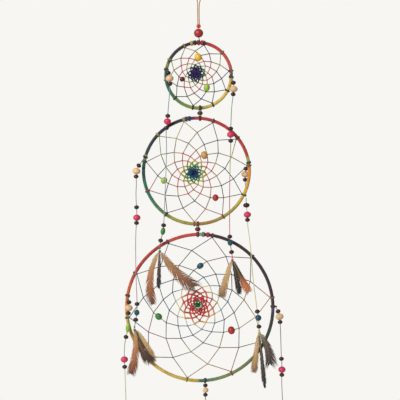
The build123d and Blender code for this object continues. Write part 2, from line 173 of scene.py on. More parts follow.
strands = {
    "small_left": {
        "hoop": "small",
        "angle": 170.0,
        "knot": (0.0015, -0.0036),
        "route": [
            (0.0035, -0.0075, 0.0072), (0.0046, -0.0079, 0.0152), (0.0038, -0.0078, 0.0323),
            (0.002, -0.0077, 0.0515), (0.0017, -0.0076, 0.0623), (-0.0005, -0.0076, 0.0731),
            (0.0006, -0.0076, 0.0911), (-0.0002, -0.0076, 0.1223), (-0.0022, -0.0076, 0.1655),
            (-0.0029, -0.0076, 0.1859), (-0.004, -0.0076, 0.1955), (-0.007, -0.0076, 0.2051),
            (-0.0078, -0.0076, 0.2145),
        ],
        "beads": [
            ("dark", 0.0053), ("natural", 0.0126), ("dark", 0.0192), ("dark", 0.0574), ("pink", 0.064),
            ("dark", 0.072), ("dark", 0.1882), ("green", 0.1954), ("dark", 0.2068),
        ],
        "feathers": [
            (-0.0079, 0.0655, 0.011, 0.0025, 1, "rust"),
            (-0.0013, 0.0468, 0.0033, 0.0033, 0, "dark"),
            (0.0408, 0.045, 0.0125, 0.008, -1, "brown"),
        ],
    },
    "small_right": {
        "hoop": "small",
        "angle": -3.0,
        "knot": (0.001, -0.0037),
        "route": [
            (0.0025, -0.0075, 0.0069), (0.0029, -0.0079, 0.0138), (0.0019, -0.0078, 0.0234),
            (0.0002, -0.0077, 0.0366), (-0.0005, -0.0076, 0.0534), (-0.001, -0.0076, 0.0678),
            (-0.0007, -0.0076, 0.0798), (-0.0016, -0.0076, 0.1038), (-0.0023, -0.0076, 0.1446),
            (-0.0021, -0.0076, 0.1866), (-0.0016, -0.0076, 0.1986), (0.0002, -0.0076, 0.2094),
            (0.0011, -0.0076, 0.216),
        ],
        "beads": [
            ("dark", 0.0086), ("natural", 0.0162), ("dark", 0.0225), ("dark", 0.0636),
            ("pink", 0.0707), ("dark", 0.0782), ("dark", 0.1926), ("teal", 0.2), ("dark", 0.2112),
        ],
        "feathers": [
            (-0.0124, 0.0463, 0.0065, 0.0055, 0, "tan"),
            (0.0088, 0.0432, 0.0042, 0.0042, -1, "dark"),
            (0.0194, 0.0405, 0.006, 0.005, 1, "ember"),
        ],
    },
    "middle_left": {
        "hoop": "middle",
        "angle": 164.6,
        "knot": (-0.0015, -0.0036),
        "route": [
            (-0.0043, -0.0066, 0.0061), (-0.0096, -0.0074, 0.0133), (-0.011, -0.0076, 0.0205),
            (-0.0103, -0.0076, 0.0307), (-0.0112, -0.0076, 0.0463), (-0.01, -0.0076, 0.0631),
            (-0.0098, -0.0076, 0.0739), (-0.0113, -0.0076, 0.0907), (-0.0114, -0.0076, 0.1171),
            (-0.0108, -0.0076, 0.1471), (-0.0095, -0.0076, 0.1747), (-0.0098, -0.0076, 0.1867),
            (-0.0113, -0.0076, 0.1951), (-0.0127, -0.0076, 0.2035),
        ],
        "beads": [
            ("dark", 0.013), ("natural", 0.0202), ("dark", 0.0268), ("dark", 0.0635), ("pink", 0.0759),
            ("dark", 0.0822), ("dark", 0.1791), ("teal", 0.1894), ("dark", 0.198),
        ],
        "feathers": [
            (-0.0042, 0.0546, 0.0048, 0.0088, 1, "rust"),
            (0.0175, 0.0396, 0.0085, 0.006, 0, "umber"),
            (0.0217, 0.0415, 0.0042, 0.0072, -1, "tan"),
        ],
    },
    "middle_right": {
        "hoop": "middle",
        "angle": 9.2,
        "knot": (-0.0015, 0.0036),
        "topRoute": [
            (-0.0034, 0.0072, 0.007), (-0.004, 0.0077, 0.0156), (-0.0038, 0.0066, 0.0252),
            (-0.0033, 0.005, 0.0336), (-0.0029, 0.0042, 0.0408),
        ],
        "topBeads": [
            ("dark", 0.0081), ("natural", 0.0149), ("dark", 0.0216),
        ],
        "bend": (-0.0029, 0.0042, 0.0416),
        "route": [
            (-0.0028, 0.003, 0.0522), (-0.0012, 0.0014, 0.063), (-0.0016, -0.0002, 0.0732),
            (0.001, -0.0026, 0.0912), (0.0031, -0.005, 0.1116), (0.0044, -0.007, 0.1356),
            (0.0082, -0.0077, 0.1644), (0.01, -0.0076, 0.1788), (0.0121, -0.0076, 0.1896),
            (0.012, -0.0076, 0.201),
        ],
        "beads": [
            ("darkWide", 0.0097), ("pink", 0.0212), ("dark", 0.0275), ("dark", 0.1378),
            ("blue", 0.1456), ("dark", 0.156),
        ],
        "feathers": [
            (-0.0056, 0.0492, 0.0052, 0.0047, -1, "tan"),
            (0.0071, 0.068, 0.0035, 0.0035, 0, "dark"),
            (0.0132, 0.0388, 0.0062, 0.0102, 1, "grey"),
        ],
    },
    "large_left": {
        "hoop": "large",
        "angle": 170.6,
        "knot": (0.001, -0.0037),
        "route": [
            (0.0024, -0.0075, 0.0071), (0.0016, -0.0079, 0.0149), (0.0011, -0.0078, 0.0239),
            (0.0014, -0.0077, 0.0371), (-0.0017, -0.0076, 0.0491), (-0.0035, -0.0076, 0.0611),
            (-0.0036, -0.0076, 0.0743), (-0.003, -0.0076, 0.0851), (-0.0023, -0.0076, 0.1019),
            (-0.0014, -0.0076, 0.1283), (-0.0018, -0.0076, 0.1487), (-0.001, -0.0076, 0.1631),
            (-0.0013, -0.0076, 0.1739),
        ],
        "beads": [
            ("dark", 0.0084), ("natural", 0.0152), ("dark", 0.0216), ("lime", 0.0388),
            ("dark", 0.0502), ("pink", 0.0772), ("dark", 0.086), ("dark", 0.1494), ("green", 0.1566),
            ("dark", 0.1638),
        ],
        "feathers": [
            (-0.006, 0.044, 0.006, 0.003, 1, "rust"),
            (0.002, 0.04, 0.0033, 0.0033, 0, "dark"),
            (0.013, 0.042, 0.0045, 0.0085, -1, "brown"),
        ],
    },
    "large_right": {
        "hoop": "large",
        "angle": 0.8,
        "knot": (0.0038, -0.0018),
        "route": [
            (0.006, -0.0021, 0.0048), (0.008, -0.0022, 0.0114), (0.0086, -0.0022, 0.0192),
            (0.0094, -0.0022, 0.0384), (0.0098, -0.0022, 0.0576), (0.0106, -0.0022, 0.0684),
            (0.0108, -0.0022, 0.078), (0.0103, -0.0022, 0.0888), (0.0112, -0.0022, 0.108),
            (0.0123, -0.0022, 0.1272), (0.0126, -0.0022, 0.1392), (0.0136, -0.0022, 0.1488),
            (0.0131, -0.0022, 0.1596),
        ],
        "beads": [
            ("dark", 0.0063), ("natural", 0.0129), ("dark", 0.0194), ("dark", 0.0635),
            ("pink", 0.0764), ("dark", 0.0827), ("dark", 0.1375), ("teal", 0.1436), ("dark", 0.1518),
        ],
        "feathers": [
            (-0.008, 0.046, 0.0045, 0.0065, 0, "brown"),
            (0.003, 0.038, 0.0033, 0.0033, -1, "dark"),
            (0.012, 0.043, 0.003, 0.007, 1, "ember"),
        ],
    },
    "large_bottom": {
        "hoop": "large",
        "angle": 274.2,
        "knot": (0.0, -0.0035),
        "route": [
            (0.0004, -0.0039, 0.006), (0.0006, -0.004, 0.012), (0.0002, -0.004, 0.018),
            (0.0006, -0.004, 0.0288), (-0.0001, -0.004, 0.0384), (0.0004, -0.004, 0.048),
            (-0.0004, -0.004, 0.0588), (0.0, -0.004, 0.0684), (-0.0005, -0.004, 0.078),
        ],
        "beads": [
            ("smallDark", 0.0054), ("smallNatural", 0.011), ("smallDark", 0.0166), ("dark", 0.0338),
            ("pink", 0.0403), ("dark", 0.0467), ("dark", 0.0575), ("green", 0.0646), ("dark", 0.0717),
        ],
        "feathers": [
            (-0.007, 0.041, 0.0075, 0.0045, 1, "tan"),
            (0.0015, 0.042, 0.0033, 0.0033, 0, "dark"),
            (0.011, 0.038, 0.003, 0.006, -1, "rust"),
        ],
    },
}


# Shader groups that several paints share
def newGroup(name, inputs, outputs):
    group = bpy.data.node_groups.new(name, "ShaderNodeTree")
    for direction, sockets in (("INPUT", inputs), ("OUTPUT", outputs)):
        for socketName, kind, value in sockets:
            socket = group.interface.new_socket(name=socketName, in_out=direction, socket_type=kind)
            if value is not None:
                socket.default_value = value
    return group, group.nodes.new("NodeGroupInput"), group.nodes.new("NodeGroupOutput")


def addMath(tree, operation, first, second=None):
    node = tree.nodes.new("ShaderNodeMath")
    node.operation = operation
    for socket, value in zip(node.inputs, (first, second)):
        if value is None:
            continue
        if isinstance(value, (int, float)):
            socket.default_value = value
        else:
            tree.links.new(value, socket)
    return node.outputs[0]


def addNoise(tree, coordinates, scale, detail=2.0, stretch=None):
    if stretch:
        mapping = tree.nodes.new("ShaderNodeMapping")
        mapping.inputs["Scale"].default_value = stretch
        tree.links.new(coordinates, mapping.inputs["Vector"])
        coordinates = mapping.outputs["Vector"]
    noise = tree.nodes.new("ShaderNodeTexNoise")
    noise.inputs["Scale"].default_value = scale
    noise.inputs["Detail"].default_value = detail
    tree.links.new(coordinates, noise.inputs["Vector"])
    return noise.outputs["Fac"]


def addShift(tree, factor, least, most):  # spreads 0..1 over another range
    node = tree.nodes.new("ShaderNodeMapRange")
    node.inputs["To Min"].default_value = least
    node.inputs["To Max"].default_value = most
    tree.links.new(factor, node.inputs["Value"])
    return node.outputs["Result"]


def addMix(tree, factor, first, second):  # from one colour to another
    node = tree.nodes.new("ShaderNodeMix")
    node.data_type = "RGBA"
    for number, socket in ((0, factor), (6, first), (7, second)):
        tree.links.new(socket, node.inputs[number])
    return node.outputs[2]


def addScale(tree, colour, amount):
    node = tree.nodes.new("ShaderNodeVectorMath")
    node.operation = "SCALE"
    tree.links.new(colour, node.inputs[0])
    tree.links.new(amount, node.inputs["Scale"])
    return node.outputs[0]


def addPlace(tree):
    return tree.nodes.new("ShaderNodeTexCoord").outputs["Object"]


def addRamp(tree, factor, stops, interpolation="LINEAR"):
    ramp = tree.nodes.new("ShaderNodeValToRGB")
    elements = ramp.color_ramp.elements
    ramp.color_ramp.interpolation = interpolation
    while len(elements) < len(stops):
        elements.new(1.0)
    for element, (place, colour) in zip(elements, stops):
        element.position = place
        element.color = tint(*colour)
    tree.links.new(factor, ramp.inputs["Fac"])
    return ramp.outputs["Color"]


shading = {"mainShare": 0.6, "otherShare": 0.4, "contrast": 4.0}


def addShading(tree, colour, mainNoise, otherNoise, strength, brightness):  # lighter and darker patches
    main = addMath(tree, "MULTIPLY", mainNoise, shading["mainShare"])
    other = addMath(tree, "MULTIPLY", otherNoise, shading["otherShare"])
    shade = addMath(tree, "ADD", main, other)
    centred = addMath(tree, "MULTIPLY", addMath(tree, "SUBTRACT", shade, 0.5), strength)
    stretched = addMath(tree, "MULTIPLY", centred, shading["contrast"])
    return addScale(tree, colour, addMath(tree, "ADD", stretched, brightness))


def makeYarnFibre():  # mottled dye and the small ridges of spun fibre
    group, given, result = newGroup(
        "yarnFibre",
        [
            ("Colour", "NodeSocketColor", (0.5, 0.5, 0.5, 1)),
            ("Mottle", "NodeSocketFloat", 0.35),
            ("Brightness", "NodeSocketFloat", 1.0),
            ("Fineness", "NodeSocketFloat", 2600.0),
        ],
        [("Colour", "NodeSocketColor", None), ("Height", "NodeSocketFloat", None)],
    )
    place = addPlace(group)
    broad = addNoise(group, place, 260, 3)
    fine = group.nodes.new("ShaderNodeTexNoise")
    fine.inputs["Detail"].default_value = 3
    group.links.new(place, fine.inputs["Vector"])
    group.links.new(given.outputs["Fineness"], fine.inputs["Scale"])
    colour, mottle, brightness = (given.outputs[name] for name in ("Colour", "Mottle", "Brightness"))
    dyed = addShading(group, colour, broad, fine.outputs[0], mottle, brightness)
    group.links.new(dyed, result.inputs["Colour"])
    group.links.new(fine.outputs[0], result.inputs["Height"])
    return group


def makeWoodGrain():  # streaks along the bead's height, with darker pores
    group, given, result = newGroup(
        "woodGrain",
        [
            ("Colour", "NodeSocketColor", (0.5, 0.4, 0.3, 1)),
            ("Strength", "NodeSocketFloat", 0.3),
        ],
        [("Colour", "NodeSocketColor", None), ("Height", "NodeSocketFloat", None)],
    )
    place = addPlace(group)
    streaks = addNoise(group, place, 900, 3, (1, 1, 0.16))
    patches = addNoise(group, place, 130, 1)
    stained = addShading(group, given.outputs["Colour"], streaks, patches, given.outputs["Strength"], 1.0)
    group.links.new(stained, result.inputs["Colour"])
    group.links.new(streaks, result.inputs["Height"])
    return group


def makeHoopPlace():  # share of a turn from a hoop's top, clockwise, and of the way out to its ring
    group, given, result = newGroup(
        "hoopPlace",
        [("Centre", "NodeSocketVector", (0, 0, 0)), ("Radius", "NodeSocketFloat", 0.05)],
        [("Turn", "NodeSocketFloat", None), ("Reach", "NodeSocketFloat", None)],
    )
    offset = group.nodes.new("ShaderNodeVectorMath")
    offset.operation = "SUBTRACT"
    group.links.new(addPlace(group), offset.inputs[0])
    group.links.new(given.outputs["Centre"], offset.inputs[1])
    parts = group.nodes.new("ShaderNodeSeparateXYZ")
    group.links.new(offset.outputs[0], parts.inputs[0])
    across, up = parts.outputs["X"], parts.outputs["Z"]
    angle = addMath(group, "ARCTAN2", across, up)
    turn = addMath(group, "FRACT", addMath(group, "ADD", addMath(group, "DIVIDE", angle, 2 * math.pi), 1.0))
    squares = [addMath(group, "MULTIPLY", side, side) for side in (across, up)]
    distance = addMath(group, "SQRT", addMath(group, "ADD", *squares))
    reach = addMath(group, "DIVIDE", distance, given.outputs["Radius"])
    group.links.new(turn, result.inputs["Turn"])
    group.links.new(reach, result.inputs["Reach"])
    return group


yarnFibre, woodGrain, hoopPlace = makeYarnFibre(), makeWoodGrain(), makeHoopPlace()


def addGroup(tree, group, **values):
    node = tree.nodes.new("ShaderNodeGroup")
    node.node_tree = group
    for name, value in values.items():
        if isinstance(value, bpy.types.NodeSocket):
            tree.links.new(value, node.inputs[name])
        else:
            node.inputs[name].default_value = value
    return node


def newPaint(name, roughness):
    paint = bpy.data.materials.new(name)
    paint.use_nodes = True
    shader = paint.node_tree.nodes["Principled BSDF"]
    shader.inputs["Roughness"].default_value = roughness
    return paint, paint.node_tree, shader


def addBump(tree, shader, height, strength, distance):
    bump = tree.nodes.new("ShaderNodeBump")
    bump.inputs["Strength"].default_value = strength
    bump.inputs["Distance"].default_value = distance
    tree.links.new(height, bump.inputs["Height"])
    tree.links.new(bump.outputs["Normal"], shader.inputs["Normal"])


def makeThreadPaint(name, colour, mottle=0.3):  # plain dyed thread or cord
    paint, tree, shader = newPaint(name, 0.8)
    fibre = addGroup(tree, yarnFibre, Colour=tint(*colour), Mottle=mottle)
    tree.links.new(fibre.outputs["Colour"], shader.inputs["Base Color"])
    shader.inputs["Sheen Weight"].default_value = 0.2
    addBump(tree, shader, fibre.outputs["Height"], 0.5, 0.0002)
    return paint


def makeBeadPaint(name, colour, grain, gloss):  # stained or painted wood under a clear coat
    paint, tree, shader = newPaint(name, 0.55)
    wood = addGroup(tree, woodGrain, Colour=tint(*colour), Strength=grain)
    tree.links.new(wood.outputs["Colour"], shader.inputs["Base Color"])
    tree.links.new(addShift(tree, wood.outputs["Height"], 0.3, 0.62), shader.inputs["Roughness"])
    shader.inputs["Specular IOR Level"].default_value = 0.35
    shader.inputs["Coat Weight"].default_value = gloss
    shader.inputs["Coat Roughness"].default_value = 0.2
    addBump(tree, shader, wood.outputs["Height"], 0.35, 0.0002)
    return paint


threadColours = {
    "tanCord": (164, 110, 44),
    "orangeKnot": (206, 76, 36),
    "darkThread": (58, 36, 30),
    "rustThread": (110, 46, 36),
    "hitchThread": (66, 54, 46),
}
threadPaints = {name: makeThreadPaint(name, colour) for name, colour in threadColours.items()}

beadColours = {  # stain, grain strength, gloss
    "dark": ((48, 18, 15), 0.45, 0.2),
    "natural": ((214, 176, 132), 0.24, 0.1),
    "pink": ((200, 46, 86), 0.16, 0.25),
    "green": ((52, 118, 48), 0.2, 0.2),
    "teal": ((14, 74, 84), 0.2, 0.3),
    "blue": ((18, 62, 92), 0.2, 0.3),
    "lime": ((140, 174, 56), 0.2, 0.25),
    "yellow": ((226, 182, 52), 0.2, 0.25),
    "maroon": ((84, 20, 26), 0.3, 0.25),
    "tan": ((190, 148, 82), 0.3, 0.2),
    "red": ((168, 34, 36), 0.2, 0.25),
    "crimson": ((156, 40, 36), 0.25, 0.25),
    "brown": ((66, 40, 26), 0.35, 0.2),
}
beadPaints = {name: makeBeadPaint(f"{name}Bead", *look) for name, look in beadColours.items()}
strandDyes = {  # height in metres, from the lowest up, and the dye there
    "small_left": [
        (-0.30, (120, 122, 96)), (-0.25, (176, 176, 186)), (-0.18, (150, 146, 166)),
        (-0.10, (122, 150, 160)),
    ],
    "small_right": [
        (-0.29, (200, 84, 120)), (-0.24, (196, 96, 124)), (-0.21, (170, 176, 90)),
        (-0.17, (130, 150, 110)), (-0.10, (104, 156, 150)),
    ],
    "middle_left": [
        (-0.39, (110, 130, 104)), (-0.34, (196, 140, 150)), (-0.28, (140, 150, 140)),
        (-0.20, (110, 130, 128)),
    ],
    "middle_right": [
        (-0.37, (206, 196, 120)), (-0.30, (214, 206, 150)), (-0.26, (160, 196, 210)),
        (-0.23, (120, 170, 190)),
    ],
    "large_left": [
        (-0.50, (176, 180, 120)), (-0.46, (200, 196, 160)), (-0.42, (120, 150, 110)),
        (-0.38, (110, 120, 90)),
    ],
    "large_right": [
        (-0.52, (130, 124, 156)), (-0.46, (150, 130, 160)), (-0.41, (120, 110, 124)),
        (-0.38, (150, 140, 150)),
    ],
    "large_bottom": [(-0.53, (110, 112, 120)), (-0.47, (130, 126, 130))],
}


def makeStrandPaint(name, dyes):  # thread whose dye changes along its height
    paint, tree, shader = newPaint(name, 0.8)
    parts = tree.nodes.new("ShaderNodeSeparateXYZ")
    tree.links.new(addPlace(tree), parts.inputs[0])
    lowest, highest = dyes[0][0], dyes[-1][0]
    height = tree.nodes.new("ShaderNodeMapRange")
    height.inputs["From Min"].default_value = lowest
    height.inputs["From Max"].default_value = highest
    tree.links.new(parts.outputs["Z"], height.inputs["Value"])
    stops = [((level - lowest) / (highest - lowest), colour) for level, colour in dyes]
    dye = addRamp(tree, height.outputs["Result"], stops)
    fibre = addGroup(tree, yarnFibre, Colour=dye, Mottle=0.3, Brightness=0.85)
    tree.links.new(fibre.outputs["Colour"], shader.inputs["Base Color"])
    addBump(tree, shader, fibre.outputs["Height"], 0.5, 0.0002)
    return paint


strandPaints = {name: makeStrandPaint(f"{name}Thread", dyes) for name, dyes in strandDyes.items()}
print("paints for threads and beads are mixed")


# Cords
cordShape = {"steps": 8, "roundness": 3}


def makeCord(name, points, diameter, paint):  # one smooth line through space
    curve = bpy.data.curves.new(name, "CURVE")
    curve.dimensions = "3D"
    spline = curve.splines.new("NURBS")
    spline.points.add(len(points) - 1)
    for point, place in zip(spline.points, points):
        point.co = (*place, 1)
    spline.order_u = 3
    spline.use_endpoint_u = True
    spline.resolution_u = cordShape["steps"]
    curve.bevel_depth = diameter / 2
    curve.bevel_resolution = cordShape["roundness"]
    curve.use_fill_caps = True
    curve.materials.append(paint)
    cord = bpy.data.objects.new(name, curve)
    bpy.context.collection.objects.link(cord)
    return cord


def readLine(cord):  # points along a cord's middle
    bare = cord.copy()
    bare.data = cord.data.copy()
    bare.data.bevel_depth = 0
    bpy.context.collection.objects.link(bare)
    mesh = bpy.data.meshes.new_from_object(bare)
    line = [vertex.co.copy() for vertex in mesh.vertices]
    bpy.data.objects.remove(bare)
    return line


def lineLength(line):
    return sum((after - before).length for before, after in zip(line, line[1:]))


def walkLine(line, distance):  # the place and direction so far along a line
    for before, after in zip(line, line[1:]):
        step = (after - before).length
        if distance <= step:
            break
        distance -= step
    return before.lerp(after, distance / step), (after - before).normalized()


loop = makeCord("hangingCord", loopCord["points"], loopCord["diameter"], threadPaints["tanCord"])
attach(loop, "hanger")
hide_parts("hanging_loop")


def tiePoint(strand):
    hoop = hoops[strand["hoop"]]
    angle = math.radians(strand["angle"])
    return hoop["centre"] + Vector((math.cos(angle), 0, math.sin(angle))) * hoop["ringRadius"]


def routePoints(strand, route):
    return [tiePoint(strand) + Vector((across, back, -drop)) for across, back, drop in route]


cordLines = {}
for name, strand in strands.items():
    side, front = strand["knot"]
    strand["hangPoint"] = tiePoint(strand) + Vector((side, front, 0))
    strand["gap"] = strandThread["start"]
    paint = strandPaints[name]
    if "topRoute" in strand:
        start = strand["hangPoint"] - Vector((0, 0, strandThread["start"]))
        topPoints = [start, *routePoints(strand, strand["topRoute"])]
        strand["topCord"] = makeCord(f"{name}TopCord", topPoints, strandThread["diameter"], paint)
        strand["topHang"] = strand["hangPoint"]
        [strand["hangPoint"]] = routePoints(strand, [strand["bend"]])
        strand["gap"] = strandThread["bendGap"]
    start = strand["hangPoint"] - Vector((0, 0, strand["gap"]))
    points = [start, *routePoints(strand, strand["route"])]
    strand["cord"] = makeCord(f"{name}Cord", points, strandThread["diameter"], paint)
    cordLines[name] = readLine(strand["cord"])
print("cords are laid:", ", ".join(f"{name} {lineLength(line):.3f}" for name, line in cordLines.items()))


# Beads
beadShape = {"rings": 16, "sides": 28, "facetRings": 7, "facetSides": 9, "smoothAngle": 40}


def turnBead(name, radius, halfHeight, paint, faceted=False):  # a bored bead, upright at the origin
    sides = beadShape["facetSides"] if faceted else beadShape["sides"]
    rings = beadShape["facetRings"] if faceted else beadShape["rings"]
    deselectAll()
    bpy.ops.mesh.primitive_uv_sphere_add(segments=sides, ring_count=rings, radius=1)
    bead = bpy.context.object
    boreRing = math.pi / rings
    tall = halfHeight / math.cos(boreRing)
    bead.scale = (radius, radius, tall)
    bpy.ops.object.transform_apply(scale=True)
    bpy.ops.object.mode_set(mode="EDIT")
    bpy.ops.mesh.select_mode(type="VERT")
    bpy.ops.mesh.select_all(action="DESELECT")
    bpy.ops.object.mode_set(mode="OBJECT")
    for vertex in bead.data.vertices:
        vertex.select = abs(vertex.co.z) > tall * 0.999
    bpy.ops.object.mode_set(mode="EDIT")
    bpy.ops.mesh.delete(type="VERT")
    bpy.ops.mesh.select_non_manifold()
    bpy.ops.mesh.bridge_edge_loops()
    bpy.ops.mesh.select_all(action="SELECT")
    bpy.ops.mesh.normals_make_consistent(inside=False)
    bpy.ops.object.mode_set(mode="OBJECT")
    bead.name = bead.data.name = name
    bead.data.materials.append(paint)
    if not faceted:
        bpy.ops.object.shade_smooth_by_angle(angle=math.radians(beadShape["smoothAngle"]))
    return bead


def seatBead(bead, place, direction, turn=0.0):  # moves the mesh, so that the object stays at the origin
    tilt = Vector(direction).to_track_quat("Z", "Y").to_matrix().to_4x4()
    bead.data.transform(Matrix.Translation(place) @ tilt @ Matrix.Rotation(turn, 4, "Z"))
    return bead


beadKindPaints = {"darkWide": "dark", "smallDark": "dark", "smallNatural": "natural"}


def stringBeads(name, line, gap, beads):
    strung = []
    for number, (kind, distance) in enumerate(beads):
        radius, halfHeight = beadForms[kind]
        paint = beadPaints[beadKindPaints.get(kind, kind)]
        bead = turnBead(f"{name}{number}", radius, halfHeight, paint, faceted=kind == "teal")
        place, direction = walkLine(line, distance - gap)
        strung.append(seatBead(bead, place, direction, random.uniform(0, math.tau)))
    return joinPieces(strung, name)


def addPiece(piece, body, node):
    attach(piece, body)
    if node:
        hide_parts(node)
    return piece


for name, strand in strands.items():
    body = f"{name}_strand"
    addPiece(strand["cord"], body, f"{name}_thread")
    strand["onCord"] = []
    for group, dark in (("dark_beads", True), ("bright_beads", False)):
        chosen = [bead for bead in strand["beads"] if ("dark" in bead[0].lower()) == dark]
        pieceName = f"{name}{'Dark' if dark else 'Bright'}Beads"
        piece = stringBeads(pieceName, cordLines[name], strand["gap"], chosen)
        strand["onCord"].append(addPiece(piece, body, f"{name}_{group}"))
    if "topCord" in strand:
        line = readLine(strand["topCord"])
        addPiece(strand["topCord"], "middle_hoop", f"{name}_top_thread")
        topBeads = stringBeads(f"{name}TopBeads", line, strandThread["start"], strand["topBeads"])
        addPiece(topBeads, "middle_hoop", f"{name}_top_beads")
print("beads are strung")


# Yarn windings round the wire rings
def makeThreads(name, lines, thickness, paint, sides=6, closed=False):  # a mesh along given lines
    curve = bpy.data.curves.new(name, "CURVE")
    curve.dimensions = "3D"
    for line in lines:
        spline = curve.splines.new("POLY")
        spline.points.add(len(line) - 1)
        for point, place in zip(spline.points, line):
            point.co = (*place[:3], 1)
            point.radius = place[3] if len(place) > 3 else 1.0
        spline.use_cyclic_u = closed
    curve.bevel_depth = thickness / 2
    curve.bevel_resolution = (sides - 4) // 2
    curve.use_fill_caps = True
    curve.materials.append(paint)
    piece = bpy.data.objects.new(name, curve)
    bpy.context.collection.objects.link(piece)
    makeActive(piece)
    bpy.ops.object.convert(target="MESH")
    bpy.ops.object.shade_smooth_by_angle(angle=math.radians(threadSmoothAngle))
    return bpy.context.object


threadSmoothAngle = 50
winding = {"yarn": 0.001, "pitch": 0.00088, "pointsPerTurn": 10, "unevenness": 0.00006, "dyeDrift": 0.006}

# Dye of each hoop's yarn: share of a turn clockwise from the top, and the colour from there on
yarnDyes = {
    "small": [
        (0.00, (96, 30, 40)), (0.03, (150, 30, 52)), (0.07, (188, 50, 46)), (0.13, (196, 66, 54)),
        (0.215, (190, 84, 66)), (0.238, (150, 60, 60)), (0.244, (36, 104, 100)), (0.256, (50, 90, 80)),
        (0.262, (206, 164, 52)), (0.34, (214, 180, 82)), (0.43, (204, 180, 84)), (0.478, (150, 150, 66)),
        (0.485, (70, 66, 40)), (0.50, (140, 150, 54)), (0.56, (122, 142, 50)), (0.63, (64, 124, 78)),
        (0.70, (32, 104, 84)), (0.77, (34, 88, 76)), (0.80, (130, 150, 70)), (0.815, (52, 70, 50)),
        (0.875, (40, 36, 38)), (0.94, (38, 26, 28)),
    ],
    "middle": [
        (0.00, (176, 50, 48)), (0.12, (192, 52, 44)), (0.205, (176, 60, 44)), (0.212, (160, 166, 84)),
        (0.228, (150, 150, 70)), (0.234, (206, 112, 44)), (0.265, (214, 146, 44)), (0.33, (206, 170, 60)),
        (0.41, (158, 158, 66)), (0.46, (166, 120, 56)), (0.51, (150, 140, 54)), (0.57, (170, 160, 60)),
        (0.60, (84, 130, 62)), (0.66, (40, 116, 82)), (0.74, (28, 102, 86)), (0.783, (36, 98, 84)),
        (0.788, (196, 200, 130)), (0.796, (180, 186, 120)), (0.801, (32, 70, 70)), (0.86, (34, 44, 50)),
        (0.915, (40, 26, 34)), (0.958, (44, 28, 34)), (0.962, (214, 196, 130)), (0.970, (200, 180, 120)),
        (0.974, (46, 36, 74)), (0.988, (60, 40, 90)), (0.994, (150, 44, 60)),
    ],
    "large": [
        (0.00, (150, 170, 150)), (0.006, (96, 120, 104)), (0.010, (62, 30, 42)), (0.10, (50, 28, 38)),
        (0.19, (54, 34, 44)), (0.246, (58, 40, 52)), (0.250, (92, 62, 104)), (0.258, (80, 60, 90)),
        (0.262, (44, 50, 52)), (0.32, (46, 62, 52)), (0.35, (84, 104, 62)), (0.41, (112, 128, 72)),
        (0.45, (130, 140, 84)), (0.486, (80, 120, 84)), (0.490, (44, 116, 104)), (0.500, (60, 110, 90)),
        (0.505, (190, 160, 54)), (0.58, (202, 172, 76)), (0.66, (200, 164, 70)), (0.74, (204, 150, 60)),
        (0.78, (204, 104, 48)), (0.83, (184, 58, 46)), (0.90, (172, 52, 46)), (0.95, (188, 66, 56)),
    ],
}


def makeYarnPaint(name, hoop, dyes):
    paint, tree, shader = newPaint(name, 0.82)
    place = addGroup(tree, hoopPlace, Centre=hoop["centre"], Radius=hoop["ringRadius"])
    drift = addShift(tree, addNoise(tree, addPlace(tree), 90), -winding["dyeDrift"], winding["dyeDrift"])
    dye = addRamp(tree, addMath(tree, "ADD", place.outputs["Turn"], drift), dyes)
    fibre = addGroup(tree, yarnFibre, Colour=dye, Mottle=0.42, Fineness=3200.0)
    tree.links.new(fibre.outputs["Colour"], shader.inputs["Base Color"])
    shader.inputs["Sheen Weight"].default_value = 0.25
    addBump(tree, shader, fibre.outputs["Height"], 0.6, 0.0003)
    return paint


def windYarn(name, hoop):  # one long helix that runs round the ring
    turns = round(math.tau * hoop["ringRadius"] / winding["pitch"])
    count = turns * winding["pointsPerTurn"]
    line = []
    for number in range(count):
        around, wound = math.tau * number / count, math.tau * number / winding["pointsPerTurn"]
        radius = hoop["tubeRadius"] - winding["yarn"] / 2 + random.uniform(-1, 1) * winding["unevenness"]
        out = hoop["ringRadius"] + radius * math.cos(wound)
        offset = Vector((out * math.sin(around), -radius * math.sin(wound), out * math.cos(around)))
        line.append(hoop["centre"] + offset)
    return makeThreads(f"{name}YarnWinding", [line], winding["yarn"], hoop["yarnPaint"], closed=True)


steel, steelTree, steelShader = newPaint("ringSteel", 0.32)
steelShader.inputs["Metallic"].default_value = 1.0
steelGreys = [(0.3, (120, 120, 122)), (0.7, (176, 176, 176))]
steelColour = addRamp(steelTree, addNoise(steelTree, addPlace(steelTree), 400, 3), steelGreys)
steelTree.links.new(steelColour, steelShader.inputs["Base Color"])

for name, hoop in hoops.items():
    hoop["yarnPaint"] = makeYarnPaint(f"{name}Yarn", hoop, yarnDyes[name])
    addPiece(windYarn(name, hoop), f"{name}_hoop", f"{name}_winding")
    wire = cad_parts[f"{name}_ring"]
    wire.data.materials.clear()
    wire.data.materials.append(steel)
print("windings are wound")


